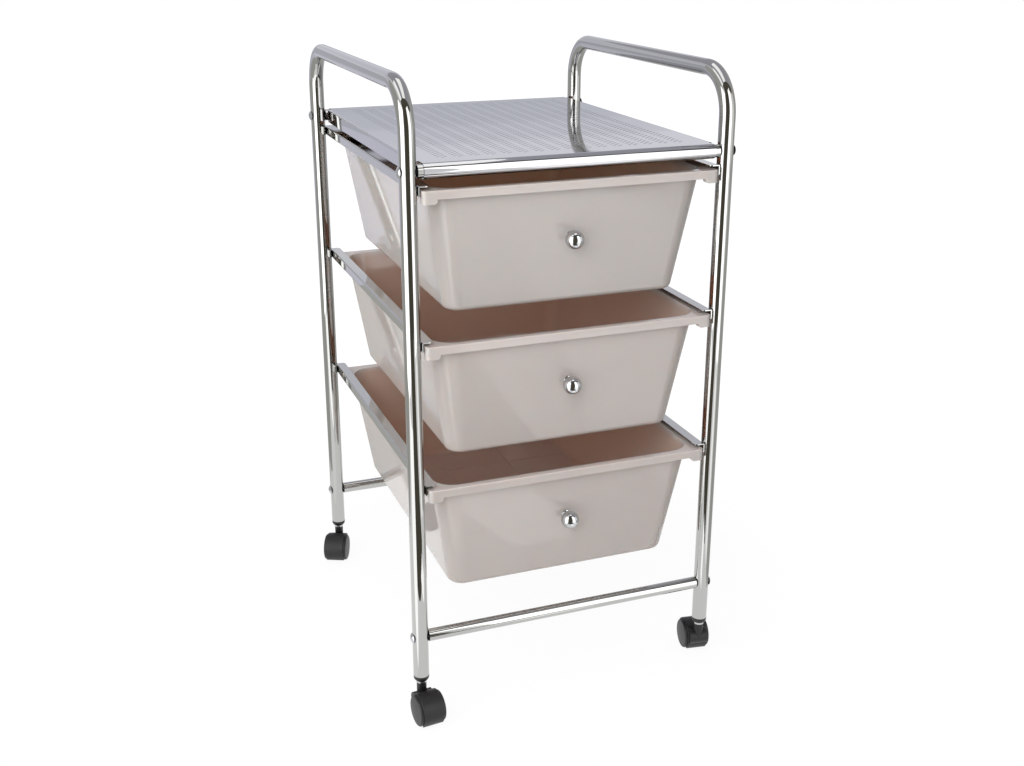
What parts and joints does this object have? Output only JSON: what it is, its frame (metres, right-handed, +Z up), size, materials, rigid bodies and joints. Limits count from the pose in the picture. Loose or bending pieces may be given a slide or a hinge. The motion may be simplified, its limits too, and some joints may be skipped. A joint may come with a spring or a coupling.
{
  "type": "drawer trolley",
  "caption": "Wheeled chrome trolley with a dotted sheet shelf between handle bars and tapered plastic drawers that slide on side rails, on hooded swivel casters.",
  "frame": {"origin": "on the floor, under the middle of the four legs; the stance of the swivelled casters moves the middle of the bounding box a few millimetres from it", "axes": "+X to the right of a person who faces the drawer fronts, +Y from the fronts to the back, +Z up"},
  "size_m": [0.3703, 0.439, 0.6413],
  "materials": {
    "chrome_tube": "polished chrome plate on drawn steel tube",
    "shelf_sheet": "chrome plate on steel sheet with a staggered pattern of small punched dots",
    "rail_steel": "polished chrome plate on folded steel sheet",
    "screw_steel": "bright zinc plate",
    "insert_nylon": "moulded black nylon",
    "drawer_plastic": "glossy taupe polypropylene",
    "knob_chrome": "polished chrome plate",
    "bright_steel": "turned bright steel",
    "caster_nylon": "moulded black nylon, satin",
    "wheel_nylon": "moulded black nylon, satin"
  },
  "bodies": {
    "frame": {"side_frame_left": "chrome_tube", "side_frame_right": "chrome_tube", "lower_tube_front": "chrome_tube", "lower_tube_rear": "chrome_tube", "shelf_tube_front": "chrome_tube", "shelf_tube_rear": "chrome_tube", "top_shelf": "shelf_sheet", "rail_left_bottom": "rail_steel", "rail_right_bottom": "rail_steel", "rail_left_middle": "rail_steel", "rail_right_middle": "rail_steel", "rail_left_top": "rail_steel", "rail_right_top": "rail_steel", "frame_screws": "screw_steel", "tube_inserts": "insert_nylon", "leg_plug_front_left": "insert_nylon", "leg_plug_front_right": "insert_nylon", "leg_plug_rear_left": "insert_nylon", "leg_plug_rear_right": "insert_nylon", "caster_washers": "bright_steel"},
    "drawer_bottom": {"drawer_bottom": "drawer_plastic", "knob_bottom": "knob_chrome", "knob_screw_bottom": "screw_steel"},
    "drawer_middle": {"drawer_middle": "drawer_plastic", "knob_middle": "knob_chrome", "knob_screw_middle": "screw_steel"},
    "drawer_top": {"drawer_top": "drawer_plastic", "knob_top": "knob_chrome", "knob_screw_top": "screw_steel"},
    "caster_front_left": {"caster_stem_front_left": "bright_steel", "stem_clip_front_left": "bright_steel", "caster_hood_front_left": "caster_nylon", "caster_axle_front_left": "bright_steel"},
    "wheel_left_front_left": {"wheel_left_front_left": "wheel_nylon"},
    "wheel_right_front_left": {"wheel_right_front_left": "wheel_nylon"},
    "caster_front_right": {"caster_stem_front_right": "bright_steel", "stem_clip_front_right": "bright_steel", "caster_hood_front_right": "caster_nylon", "caster_axle_front_right": "bright_steel"},
    "wheel_left_front_right": {"wheel_left_front_right": "wheel_nylon"},
    "wheel_right_front_right": {"wheel_right_front_right": "wheel_nylon"},
    "caster_rear_left": {"caster_stem_rear_left": "bright_steel", "stem_clip_rear_left": "bright_steel", "caster_hood_rear_left": "caster_nylon", "caster_axle_rear_left": "bright_steel"},
    "wheel_left_rear_left": {"wheel_left_rear_left": "wheel_nylon"},
    "wheel_right_rear_left": {"wheel_right_rear_left": "wheel_nylon"},
    "caster_rear_right": {"caster_stem_rear_right": "bright_steel", "stem_clip_rear_right": "bright_steel", "caster_hood_rear_right": "caster_nylon", "caster_axle_rear_right": "bright_steel"},
    "wheel_left_rear_right": {"wheel_left_rear_right": "wheel_nylon"},
    "wheel_right_rear_right": {"wheel_right_rear_right": "wheel_nylon"}
  },
  "joints": [
    {"name": "drawer_bottom_slide", "type": "slide", "parent": "frame", "child": "drawer_bottom", "axis": [0, -1, 0], "range_m": [0, 0.3]},
    {"name": "drawer_middle_slide", "type": "slide", "parent": "frame", "child": "drawer_middle", "axis": [0, -1, 0], "range_m": [0, 0.3]},
    {"name": "drawer_top_slide", "type": "slide", "parent": "frame", "child": "drawer_top", "axis": [0, -1, 0], "range_m": [0, 0.3]},
    {"name": "caster_front_left_swivel", "type": "hinge", "parent": "frame", "child": "caster_front_left", "pos_m": [-0.1591, -0.1847, 0.0435], "axis": [0, 0, 1], "continuous": true},
    {"name": "wheel_left_front_left_spin", "type": "hinge", "parent": "caster_front_left", "child": "wheel_left_front_left", "pos_m": [-0.15738, -0.20111, 0.01575], "axis": [0.9945, 0.1045, 0], "continuous": true},
    {"name": "wheel_right_front_left_spin", "type": "hinge", "parent": "caster_front_left", "child": "wheel_right_front_left", "pos_m": [-0.15738, -0.20111, 0.01575], "axis": [0.9945, 0.1045, 0], "continuous": true},
    {"name": "caster_front_right_swivel", "type": "hinge", "parent": "frame", "child": "caster_front_right", "pos_m": [0.1591, -0.1847, 0.0435], "axis": [0, 0, 1], "continuous": true},
    {"name": "wheel_left_front_right_spin", "type": "hinge", "parent": "caster_front_right", "child": "wheel_left_front_right", "pos_m": [0.16168, -0.1684, 0.01575], "axis": [-0.9877, 0.1564, 0], "continuous": true},
    {"name": "wheel_right_front_right_spin", "type": "hinge", "parent": "caster_front_right", "child": "wheel_right_front_right", "pos_m": [0.16168, -0.1684, 0.01575], "axis": [-0.9877, 0.1564, 0], "continuous": true},
    {"name": "caster_rear_left_swivel", "type": "hinge", "parent": "frame", "child": "caster_rear_left", "pos_m": [-0.1591, 0.1847, 0.0435], "axis": [0, 0, 1], "continuous": true},
    {"name": "wheel_left_rear_left_spin", "type": "hinge", "parent": "caster_rear_left", "child": "wheel_left_rear_left", "pos_m": [-0.16607, 0.16975, 0.01575], "axis": [0.9063, -0.4226, 0], "continuous": true},
    {"name": "wheel_right_rear_left_spin", "type": "hinge", "parent": "caster_rear_left", "child": "wheel_right_rear_left", "pos_m": [-0.16607, 0.16975, 0.01575], "axis": [0.9063, -0.4226, 0], "continuous": true},
    {"name": "caster_rear_right_swivel", "type": "hinge", "parent": "frame", "child": "caster_rear_right", "pos_m": [0.1591, 0.1847, 0.0435], "axis": [0, 0, 1], "continuous": true},
    {"name": "wheel_left_rear_right_spin", "type": "hinge", "parent": "caster_rear_right", "child": "wheel_left_rear_right", "pos_m": [0.16685, 0.19927, 0.01575], "axis": [-0.8829, 0.4695, 0], "continuous": true},
    {"name": "wheel_right_rear_right_spin", "type": "hinge", "parent": "caster_rear_right", "child": "wheel_right_rear_right", "pos_m": [0.16685, 0.19927, 0.01575], "axis": [-0.8829, 0.4695, 0], "continuous": true}
  ]
}
